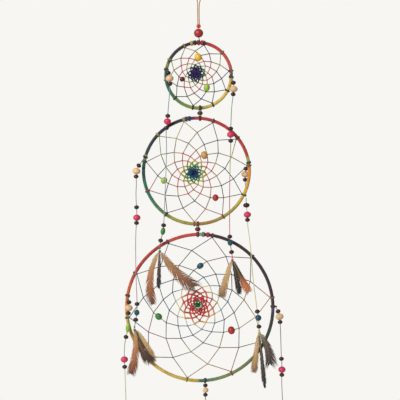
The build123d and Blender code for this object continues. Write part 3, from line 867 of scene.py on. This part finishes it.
# Webs
webs = {
    "small": {
        "ties": 10, "firstTie": 8, "rounds": 8, "extraRounds": 2, "shrink": 0.78,
        "centre": (-0.0031, 0.0022),
        "core": (0.0066, 110),
        "beads": {
            "yellow": (2, 1, 0, 0.4, 0.0048, 0.0042),
            "maroon": (2, 4, 0, 0.6, 0.0032, 0.0028),
            "lime": (2, 7, 0, 0.6, 0.0037, 0.0046),
        },
        "rings": [
            (0.00, (96, 40, 130)), (0.08, (60, 44, 110)), (0.17, (36, 40, 96)), (0.21, (36, 70, 64)),
            (0.28, (96, 120, 50)), (0.33, (220, 170, 60)), (0.38, (206, 88, 54)), (0.52, (190, 44, 46)),
            (0.60, (178, 60, 56)), (0.68, (48, 60, 64)), (0.90, (44, 58, 62)),
        ],
        "sides": [
            (0.00, (48, 56, 60)), (0.12, (44, 54, 60)), (0.17, (190, 176, 90)), (0.24, (44, 66, 70)),
            (0.45, (40, 62, 66)), (0.62, (46, 66, 64)), (0.70, (166, 180, 104)), (0.80, (150, 170, 100)),
            (0.88, (180, 80, 70)), (0.94, (190, 170, 80)),
        ],
    },
    "middle": {
        "ties": 11, "firstTie": 6, "rounds": 9, "extraRounds": 2, "shrink": 0.76,
        "centre": (-0.0035, -0.0026),
        "core": (0.0060, 90),
        "beads": {
            "tan": (3, 0, 0, 0.4, 0.0048, 0.0042),
            "lime": (1, 5, 0, 0.6, 0.0042, 0.0036),
            "red": (1, 9, -1, 0.6, 0.0041, 0.0036),
        },
        "rings": [
            (0.00, (30, 56, 130)), (0.07, (24, 84, 120)), (0.12, (50, 130, 96)), (0.17, (140, 170, 60)),
            (0.22, (220, 190, 56)), (0.27, (224, 130, 54)), (0.31, (204, 48, 48)), (0.42, (206, 70, 54)),
            (0.46, (206, 170, 80)), (0.56, (70, 90, 80)), (0.66, (52, 66, 70)),
        ],
        "sides": [
            (0.00, (150, 160, 90)), (0.08, (60, 70, 76)), (0.17, (190, 180, 90)), (0.24, (56, 66, 74)),
            (0.34, (60, 96, 84)), (0.42, (186, 60, 56)), (0.52, (180, 110, 66)), (0.60, (60, 72, 92)),
            (0.70, (190, 90, 90)), (0.78, (70, 110, 90)), (0.86, (150, 166, 100)), (0.94, (206, 190, 110)),
        ],
    },
    "large": {
        "ties": 10, "firstTie": 8, "rounds": 12, "extraRounds": 1, "shrink": 0.8,
        "centre": (-0.0025, 0.0031),
        "core": (0.0042, 60),
        "beads": {
            "teal": (2, 1, 0, 0.5, 0.0036, 0.0041),
            "green": (2, 4, 0, 0.4, 0.0039, 0.0044),
            "red": (2, 8, -1, 0.5, 0.0049, 0.0042),
        },
        "rings": [
            (0.00, (34, 130, 50)), (0.045, (40, 130, 54)), (0.07, (218, 62, 52)), (0.13, (228, 66, 56)),
            (0.20, (236, 110, 66)), (0.24, (244, 196, 130)), (0.28, (246, 222, 150)), (0.33, (90, 150, 150)),
            (0.38, (30, 92, 116)), (0.45, (40, 84, 100)), (0.53, (80, 92, 76)), (0.62, (140, 130, 70)),
        ],
        "sides": [
            (0.00, (60, 80, 84)), (0.07, (180, 60, 60)), (0.14, (64, 84, 92)), (0.22, (190, 70, 56)),
            (0.30, (190, 170, 90)), (0.36, (56, 72, 84)), (0.44, (196, 84, 62)), (0.52, (186, 170, 80)),
            (0.58, (70, 84, 84)), (0.66, (176, 60, 56)), (0.72, (52, 96, 100)), (0.80, (60, 110, 104)),
            (0.88, (120, 130, 90)), (0.94, (60, 92, 88)),
        ],
    },
}
webThread = {
    "thickness": 0.00105,
    "knotSwell": 1.7,  # how much thicker a knot is than its thread
    "knotLength": 0.0009,
    "innerReach": 0.3,  # from here in, the rounds are wound again into a rosette
    "innerCopies": 3,
    "copySpread": 0.0009,
    "inset": 0.0002,
    "coreDepth": 0.0011,
    "looseness": 0.0007,  # how far a knot may sit from its even place
    "tieRadius": 0.0026,
    "tieTurns": 2,
    "tiePitch": 0.0009,
    "stepsPerTurn": 12,
}
webDyeing = {
    "patchScale": 120,
    "sideDrift": 0.14,  # shares of a turn
    "ringDrift": 0.35,
    "ringsTo": 0.56,  # share of the way out where the rings' dyes start to give way
    "sidesFrom": 0.72,
}


def makeWebPaint(name, hoop, web):
    paint, tree, shader = newPaint(name, 0.75)
    drawn = hoop["centre"] + Vector((web["centre"][0], 0, web["centre"][1]))
    place = addGroup(tree, hoopPlace, Centre=drawn, Radius=hoop["ringRadius"])
    reach, turn = place.outputs["Reach"], place.outputs["Turn"]
    wander = addNoise(tree, addPlace(tree), webDyeing["patchScale"], 3)
    sideDrift = addShift(tree, wander, -webDyeing["sideDrift"], webDyeing["sideDrift"])
    ringShift = addShift(tree, wander, -webDyeing["ringDrift"], webDyeing["ringDrift"])
    ringDrift = addMath(tree, "MULTIPLY", ringShift, reach)
    rings = addRamp(tree, addMath(tree, "ADD", reach, ringDrift), web["rings"])
    sides = addRamp(tree, addMath(tree, "ADD", turn, sideDrift), web["sides"])
    outer = tree.nodes.new("ShaderNodeMapRange")
    outer.inputs["From Min"].default_value = webDyeing["ringsTo"]
    outer.inputs["From Max"].default_value = webDyeing["sidesFrom"]
    tree.links.new(reach, outer.inputs["Value"])
    both = addMix(tree, outer.outputs["Result"], rings, sides)
    fibre = addGroup(tree, yarnFibre, Colour=both, Mottle=0.22, Brightness=0.6, Fineness=3000.0)
    tree.links.new(fibre.outputs["Colour"], shader.inputs["Base Color"])
    addBump(tree, shader, fibre.outputs["Height"], 0.4, 0.0002)
    return paint


def scatter(amount):
    return Vector([random.uniform(-1, 1) * amount for axis in range(3)])


def rimAxes(degrees):  # outwards from a hoop's middle and along its rim, anticlockwise from the right
    angle = math.radians(degrees)
    return Vector((math.cos(angle), 0, math.sin(angle))), Vector((-math.sin(angle), 0, math.cos(angle)))


def webKnots(hoop, web):  # every knot's place; level 0 lies on the ring
    knots = {}
    drawn = Vector((web["centre"][0], 0, web["centre"][1]))
    rimReach = hoop["ringRadius"] - hoop["tubeRadius"] - webThread["inset"]
    for level in range(web["rounds"] + web["extraRounds"] + 1):
        reach = web["shrink"] ** level
        looseness = webThread["looseness"] if level else 0.0
        for number in range(web["ties"]):
            outward = rimAxes(web["firstTie"] + (number + level / 2) * 360 / web["ties"])[0]
            out = outward * rimReach * reach
            knots[level, number] = hoop["centre"] + drawn * (1 - reach) + out + scatter(looseness)
    return knots


def knottedRound(corners):  # a closed zigzag that thickens where it is knotted
    line = []
    for corner, after in zip(corners, corners[1:] + corners[:1]):
        along = (after - corner).normalized() * min(webThread["knotLength"], (after - corner).length / 3)
        line += [(*corner, webThread["knotSwell"]), (*(corner + along), 1.0), (*(after - along), 1.0)]
    return line


def tangle(centre, radius, chords):  # thread wound back and forth over the middle
    line, angle = [], 0.0
    for number in range(chords):
        angle += math.pi + random.uniform(-0.9, 0.9)
        out = radius * random.uniform(0.55, 1.0)
        depth = random.uniform(-1, 1) * webThread["coreDepth"]
        line.append(centre + Vector((out * math.cos(angle), depth, out * math.sin(angle))))
    return line


def tieLoops(hoop, degrees):  # turns of thread over the winding where the web is tied on
    outward, along = rimAxes(degrees)
    rim = hoop["centre"] + outward * hoop["ringRadius"]
    line, steps = [], webThread["stepsPerTurn"] * webThread["tieTurns"]
    for number in range(steps + 1):
        wound = math.tau * number / webThread["stepsPerTurn"] + math.pi
        shift = (number / steps - 0.5) * webThread["tiePitch"] * webThread["tieTurns"]
        spoke = outward * math.cos(wound) + Vector((0, math.sin(wound), 0))
        line.append(rim + spoke * webThread["tieRadius"] + along * shift)
    return line


for name, hoop in hoops.items():
    web = webs[name]
    knots = webKnots(hoop, web)
    paint = makeWebPaint(f"{name}Web", hoop, web)
    body = f"{name}_hoop"
    rounds = []
    for level in range(web["rounds"] + web["extraRounds"]):
        corners = []
        for number in range(web["ties"]):
            corners += [knots[level, number], knots[level + 1, number]]
        rounds.append(knottedRound(corners))
        copies = webThread["innerCopies"] if web["shrink"] ** level < webThread["innerReach"] else 0
        for copy in range(copies):
            rounds.append(knottedRound([corner + scatter(webThread["copySpread"]) for corner in corners]))
    rounds.append(tangle(hoop["centre"] + Vector((web["centre"][0], 0, web["centre"][1])), *web["core"]))
    net = makeThreads(f"{name}Net", rounds, webThread["thickness"], paint, closed=True)
    tieAngles = [web["firstTie"] + number * 360 / web["ties"] for number in range(web["ties"])]
    tied = [tieLoops(hoop, degrees) for degrees in tieAngles]
    loops = makeThreads(f"{name}NetTies", tied, webThread["thickness"], paint)
    addPiece(joinPieces([net, loops], f"{name}WebThread"), body, f"{name}_web")
    for colour, (level, number, side, share, radius, halfHeight) in web["beads"].items():
        start, end = knots[level, number], knots[level + 1, (number + side) % web["ties"]]
        beadName = f"{name}WebBead{colour.capitalize()}"
        bead = turnBead(beadName, radius, halfHeight, beadPaints[colour], faceted=colour == "teal")
        seatBead(bead, start.lerp(end, share), end - start)
        addPiece(bead, body, f"{name}_web_bead_{colour}")
print("webs are woven")


# Ties, hitches and knots
ties = {
    "cord": 0.0009,
    "lashingRadius": 0.0029,  # of the ties that swing on a winding
    "hitchRadius": 0.0027,  # of the hitches that grip it
    "turns": 3,
    "pitch": 0.00095,
    "stepsPerTurn": 14,
    "hangerKnot": 0.0056,
    "hangerCord": 0.0015,
    "hangerTurns": (0, 1.6),
    "knotCord": 0.0008,
    "knotPoints": 36,
    "knotDepth": 1.6,
    "stopTurn": 0.4,
}


def knotLine(centre, size, thickness, turn=0.0):  # a trefoil, which is how an overhand knot closes up
    unit = (size - thickness) / 6
    line = []
    for number in range(ties["knotPoints"]):
        around = math.tau * number / ties["knotPoints"]
        across = math.sin(around) + 2 * math.sin(2 * around)
        up = math.cos(around) - 2 * math.cos(2 * around)
        back = -ties["knotDepth"] * math.sin(3 * around)
        place = Matrix.Rotation(turn, 3, "Z") @ Vector((across, back, up)) * unit
        line.append(Vector(centre) + place)
    return line


def lashing(centre, along, away, radius, upwards):  # turns of cord round a rim, ending towards the stem
    sideways = along.cross(away)
    steps = ties["stepsPerTurn"] * ties["turns"]
    line = []
    for number in range(steps + 1):
        wound = math.tau * (number / ties["stepsPerTurn"] - ties["turns"])
        shift = (number / steps - 0.5) * ties["turns"] * ties["pitch"]
        spoke = away * math.cos(wound) + sideways * math.sin(wound)
        line.append(centre + spoke * radius + along * shift)
    return line if upwards else line[::-1]


def rimPlace(hoop, across, up):  # on a ring's centre line, at its top or bottom
    height = up * math.sqrt(hoop["ringRadius"] ** 2 - (across - hoop["centre"].x) ** 2)
    return Vector((across, hoop["centre"].y, hoop["centre"].z + height))


def nodeMiddle(node):
    low, high = (Vector(corner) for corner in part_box(node))
    return (low + high) / 2, (high - low) / 2


sidewaysAxis, upAxis = Vector((1, 0, 0)), Vector((0, 0, 1))
topMiddle, topHalf = nodeMiddle("top_bead")
topBead = turnBead("topBead", topHalf.x, topHalf.z, beadPaints["crimson"])
addPiece(seatBead(topBead, topMiddle, upAxis), "top_bead", "top_bead")

smallTop = rimPlace(hoops["small"], 0, 1)
line = [topMiddle + upAxis * topHalf.z, topMiddle - upAxis * topHalf.z]
line += lashing(smallTop, sidewaysAxis, upAxis, ties["lashingRadius"], False)
topTie = makeThreads("topTieCord", [line], ties["cord"], threadPaints["rustThread"], sides=8)
addPiece(topTie, "top_tie", "top_tie")

# Coloured wraps beside the ties: hoop, degrees anticlockwise from the right, and the dye
topWraps = {
    "crimson": ("small", 84, (176, 34, 64)),
    "plum": ("small", 96.5, (62, 22, 34)),
    "golden": ("small", 102.2, (196, 158, 66)),
    "navy": ("middle", 97.7, (44, 40, 84)),
    "indigo": ("middle", 101.1, (58, 48, 96)),
    "slate": ("large", 87.2, (104, 128, 124)),
    "scarlet": ("large", 83.6, (176, 44, 50)),
}
for colour, (hoopName, degrees, dye) in topWraps.items():
    hoop = hoops[hoopName]
    outward, along = rimAxes(degrees)
    rim = hoop["centre"] + outward * hoop["ringRadius"]
    line = lashing(rim, along, outward, ties["hitchRadius"], True)
    paint = makeThreadPaint(f"{colour}Wrap", dye)
    wrap = makeThreads(f"{colour}TopWrap", [line], ties["cord"], paint, sides=8)
    addPiece(wrap, f"{hoopName}_hoop", None)

links = {  # hoops above and below, bead paint and thread paint
    "upper": ("small", "middle", "brown", "darkThread"),
    "lower": ("middle", "large", "maroon", "rustThread"),
}
for link, (upper, lower, beadPaint, threadPaint) in links.items():
    middle, half = nodeMiddle(f"{link}_link_bead")
    bead = turnBead(f"{link}LinkBead", half.x, half.z, beadPaints[beadPaint])
    addPiece(seatBead(bead, middle, upAxis), f"{link}_link", f"{link}_link_bead")
    line = lashing(rimPlace(hoops[upper], middle.x, -1), sidewaysAxis, -upAxis, ties["lashingRadius"], True)
    line += lashing(rimPlace(hoops[lower], middle.x, 1), sidewaysAxis, upAxis, ties["lashingRadius"], False)
    tie = makeThreads(f"{link}LinkTie", [line], ties["cord"], threadPaints[threadPaint], sides=8)
    addPiece(tie, f"{link}_link", f"{link}_link_tie")

knotMiddle = nodeMiddle("hanger_knot")[0]
turns = [knotLine(knotMiddle, ties["hangerKnot"], ties["hangerCord"], turn) for turn in ties["hangerTurns"]]
turns.append([2 * knotMiddle - place for place in turns[0]])  # a third, mirrored, fills the lump out
orange = threadPaints["orangeKnot"]
hangerKnot = makeThreads("hangerCordKnot", turns, ties["hangerCord"], orange, sides=8, closed=True)
addPiece(hangerKnot, "hanger", "hanger_knot")
round(lineLength(readLine(loop)), 3)

for hoopName in hoops:
    wraps, knots = [], []
    for name, strand in strands.items():
        if strand["hoop"] != hoopName:
            continue
        along = rimAxes(strand["angle"])[1]
        knot = strand.get("topHang", strand["hangPoint"])
        towards = (knot - tiePoint(strand)).normalized()
        towards = (towards - along * towards.dot(along)).normalized()
        wraps.append([*lashing(tiePoint(strand), along, towards, ties["hitchRadius"], True), knot])
        turn = math.radians(strand["angle"])
        knots.append(knotLine(knot, strandThread["knotSize"], ties["knotCord"], turn))
    paint = threadPaints["hitchThread"]
    wrapPiece = makeThreads(f"{hoopName}HitchWraps", wraps, ties["cord"], paint, sides=8)
    knotPiece = makeThreads(f"{hoopName}HitchKnots", knots, ties["knotCord"], paint, closed=True)
    hitches = joinPieces([wrapPiece, knotPiece], f"{hoopName}HitchCords")
    addPiece(hitches, f"{hoopName}_hoop", f"{hoopName}_hitches")

for name, strand in strands.items():
    stop = cordLines[name][-1]
    knot = [knotLine(stop, strandThread["knotSize"], ties["knotCord"], ties["stopTurn"])]
    stopKnot = makeThreads(f"{name}StopKnot", knot, ties["knotCord"], strandPaints[name], closed=True)
    addPiece(stopKnot, f"{name}_strand", None)
print("ties and knots are made")


# Feathers
feather = {
    "quillStart": 0.0016,
    "layerGap": 0.0013,
    "barbs": 190,
    "bareShare": 0.06,  # of the length, where the quill has no barbs
    "downShare": 0.24,  # of the length, where the barbs are loose down
    "rootWidth": 0.34,  # shares of the widest
    "widening": 0.95,
    "tipFrom": 0.72,  # of the length, where the vane narrows to its tip
    "tipNarrowing": 0.9,
    "widthSpread": (0.8, 1.1),
    "downWidth": 0.3,
    "barbSteps": 3,
    "barbWidth": 0.0008,
    "barbDepth": 0.00012,
    "barbTaper": 0.45,
    "lean": 1.75,  # how far a barb runs forwards for each step outwards
    "leanSpread": 0.16,
    "tipLean": 0.6,
    "tipLeanFrom": 0.8,
    "downLean": (-1.3, 0.6),
    "downCurl": 0.0015,
    "clump": 16,  # barbs that cling together
    "clumpTurn": 0.2,
    "clumpDraw": 0.25,
    "cup": 0.0012,
    "shaft": 0.0006,
    "fullness": 1.08,
    "sweep": 1.6,  # how much more the shaft bows than the leaf that it stands for
    "shaftPoints": 16,
    "bindingRadius": 0.0011,
    "bindingDrop": 0.0004,
    "bindingHeight": 0.0026,
    "bindingTurns": 4,
}
palettes = {  # colours from quill to tip
    "rust": [
        (0, (198, 170, 122)), (0.22, (182, 138, 88)), (0.5, (164, 104, 62)), (0.8, (134, 76, 44)),
        (1, (96, 54, 34)),
    ],
    "dark": [(0, (110, 92, 68)), (0.2, (56, 44, 34)), (0.6, (34, 27, 24)), (1, (20, 16, 16))],
    "umber": [(0, (120, 104, 76)), (0.2, (92, 74, 48)), (0.55, (84, 58, 40)), (1, (58, 42, 32))],
    "brown": [(0, (170, 140, 96)), (0.25, (164, 118, 74)), (0.6, (138, 92, 58)), (1, (92, 62, 42))],
    "tan": [(0, (206, 184, 142)), (0.3, (196, 164, 112)), (0.7, (172, 132, 84)), (1, (120, 88, 54))],
    "ember": [
        (0, (74, 64, 44)), (0.3, (50, 44, 30)), (0.5, (96, 62, 32)), (0.72, (188, 100, 44)),
        (1, (176, 120, 70)),
    ],
    "grey": [(0, (150, 134, 112)), (0.25, (92, 78, 66)), (0.7, (70, 56, 50)), (1, (44, 36, 34))],
}


def makeFeatherPaint(name, stops):  # banded along the vane and darker at its edges
    paint, tree, shader = newPaint(name, 0.55)
    vane = tree.nodes.new("ShaderNodeUVMap")
    vane.uv_map = "vane"
    parts = tree.nodes.new("ShaderNodeSeparateXYZ")
    tree.links.new(vane.outputs["UV"], parts.inputs[0])
    streaks = addNoise(tree, vane.outputs["UV"], 9, 4, (5.0, 1.2, 1))
    along = addMath(tree, "ADD", parts.outputs["X"], addShift(tree, streaks, -0.16, 0.16))
    colour = addRamp(tree, along, stops)
    edge = addMath(tree, "ABSOLUTE", addMath(tree, "SUBTRACT", parts.outputs["Y"], 0.5))
    shade = addShift(tree, edge, 1.12, 0.42)
    tree.links.new(addScale(tree, colour, shade), shader.inputs["Base Color"])
    shader.inputs["Sheen Weight"].default_value = 0.3
    shader.inputs["Specular IOR Level"].default_value = 0.4
    return paint


featherPaints = {name: makeFeatherPaint(f"{name}Feather", stops) for name, stops in palettes.items()}
shaftPaint = makeThreadPaint("featherShaft", (150, 126, 92), 0.2)


def vaneWidth(share):  # of the widest, from quill to tip
    rise = min(1.0, feather["rootWidth"] + feather["widening"] * share)
    fall = max(0.0, (share - feather["tipFrom"]) / (1 - feather["tipFrom"]))
    return rise * (1 - feather["tipNarrowing"] * fall**2)


def growFeather(name, stop, tipX, tipDrop, left, right, layer, palette):
    back = -layer * feather["layerGap"]
    quill = Vector((0, 0, -feather["quillStart"]))
    chord = Vector((tipX, 0, -tipDrop)) - quill
    along = chord.normalized()
    leftward = Vector((along.z, 0, -along.x))
    bend = (left - right) / 2 * feather["sweep"]
    half = (left + right) / 2 * feather["fullness"]

    def onShaft(share):
        depth = back * min(1.0, 0.3 + 2.5 * share)
        place = quill + chord * share + leftward * bend * 4 * share * (1 - share)
        return stop + place + Vector((0, depth, 0))

    steps = feather["barbSteps"]
    verts, faces, across = [], [], []
    clumpTurns = {}
    for number in range(feather["barbs"]):
        share = feather["bareShare"] + (1 - feather["bareShare"]) * number / (feather["barbs"] - 1)
        root = onShaft(share)
        forward = (onShaft(min(1.0, share + 0.01)) - onShaft(share - 0.01)).normalized()
        downy = max(0.0, 1 - share / feather["downShare"])
        tipShare = max(0.0, share - feather["tipLeanFrom"]) / (1 - feather["tipLeanFrom"])
        for side in (-1, 1):
            clump = (side, (number + 3 * side) // feather["clump"])
            turn = clumpTurns.setdefault(clump, random.uniform(-1, 1) * feather["clumpTurn"])
            within = (number + 3 * side) % feather["clump"] / feather["clump"] - 0.5
            outward = Vector((forward.z, 0, -forward.x)) * -side
            width = half * vaneWidth(share) * random.uniform(*feather["widthSpread"])
            width *= 1 + feather["downWidth"] * downy * random.random()
            lean = feather["lean"] + turn - feather["clumpDraw"] * within
            lean += downy * random.uniform(*feather["downLean"])
            lean += random.uniform(-1, 1) * feather["leanSpread"]
            lean += feather["tipLean"] * tipShare
            curl = feather["cup"] * (width / half) ** 2 + downy * random.uniform(-1, 1) * feather["downCurl"]
            start = len(verts)
            for step in range(steps + 1):
                reach = step / steps
                forwardShare = lean * reach * (0.55 + 0.45 * reach)
                place = root + outward * width * reach * (1 - 0.12 * reach) + forward * width * forwardShare
                place += Vector((0, curl * reach**2, 0))
                breadth = feather["barbWidth"] / 2 * (1 - feather["barbTaper"] * reach) * (1 - 0.6 * downy)
                if step < steps:
                    ring = (place + forward * breadth, place - forward * breadth)
                    verts += [*ring, place - Vector((0, feather["barbDepth"], 0))]
                    across += [(share, 0.5 + side * reach / 2)] * 3
                else:
                    verts.append(place)
                    across.append((share, 0.5 + side / 2))
            faces.append((start, start + 1, start + 2))
            for step in range(steps - 1):
                low, high = start + 3 * step, start + 3 * step + 3
                for one, other in ((0, 1), (1, 2), (2, 0)):
                    faces.append((low + one, high + one, high + other, low + other))
            last = start + 3 * (steps - 1)
            for one, other in ((0, 1), (1, 2), (2, 0)):
                faces.append((last + one, last + 3, last + other))
    mesh = bpy.data.meshes.new(name)
    mesh.from_pydata(verts, [], faces)
    layerUv = mesh.uv_layers.new(name="vane")
    for corner in mesh.loops:
        layerUv.data[corner.index].uv = across[corner.vertex_index]
    mesh.materials.append(featherPaints[palette])
    vane = bpy.data.objects.new(name, mesh)
    bpy.context.collection.objects.link(vane)
    makeActive(vane)
    bpy.ops.object.mode_set(mode="EDIT")
    bpy.ops.mesh.select_all(action="SELECT")
    bpy.ops.mesh.normals_make_consistent(inside=False)
    bpy.ops.object.mode_set(mode="OBJECT")
    shares = [number / feather["shaftPoints"] for number in range(feather["shaftPoints"] + 1)]
    shaftLine = [(*onShaft(share), 1.15 - 0.95 * share) for share in shares]  # thinner towards the tip
    shaft = makeThreads(f"{name}Shaft", [shaftLine], feather["shaft"], shaftPaint)
    return [vane, shaft]


def bindQuills(name, stop, paint):  # thread round the quills under the knot
    steps = ties["stepsPerTurn"] * feather["bindingTurns"]
    line = []
    for number in range(steps + 1):
        wound = math.tau * number / ties["stepsPerTurn"]
        drop = feather["quillStart"] + feather["bindingDrop"] + feather["bindingHeight"] * number / steps
        spoke = Vector((math.cos(wound), math.sin(wound), 0)) * feather["bindingRadius"]
        line.append(stop + spoke - Vector((0, 0, drop)))
    return makeThreads(name, [line], ties["knotCord"], paint)


for name, strand in strands.items():
    stop = cordLines[name][-1]
    grown = []
    for number, shape in enumerate(strand["feathers"]):
        grown += growFeather(f"{name}Feather{number}", stop, *shape)
    grown.append(bindQuills(f"{name}Binding", stop, strandPaints[name]))
    addPiece(joinPieces(grown, f"{name}Plume"), f"{name}_plume", f"{name}_feathers")
print("feathers are grown")
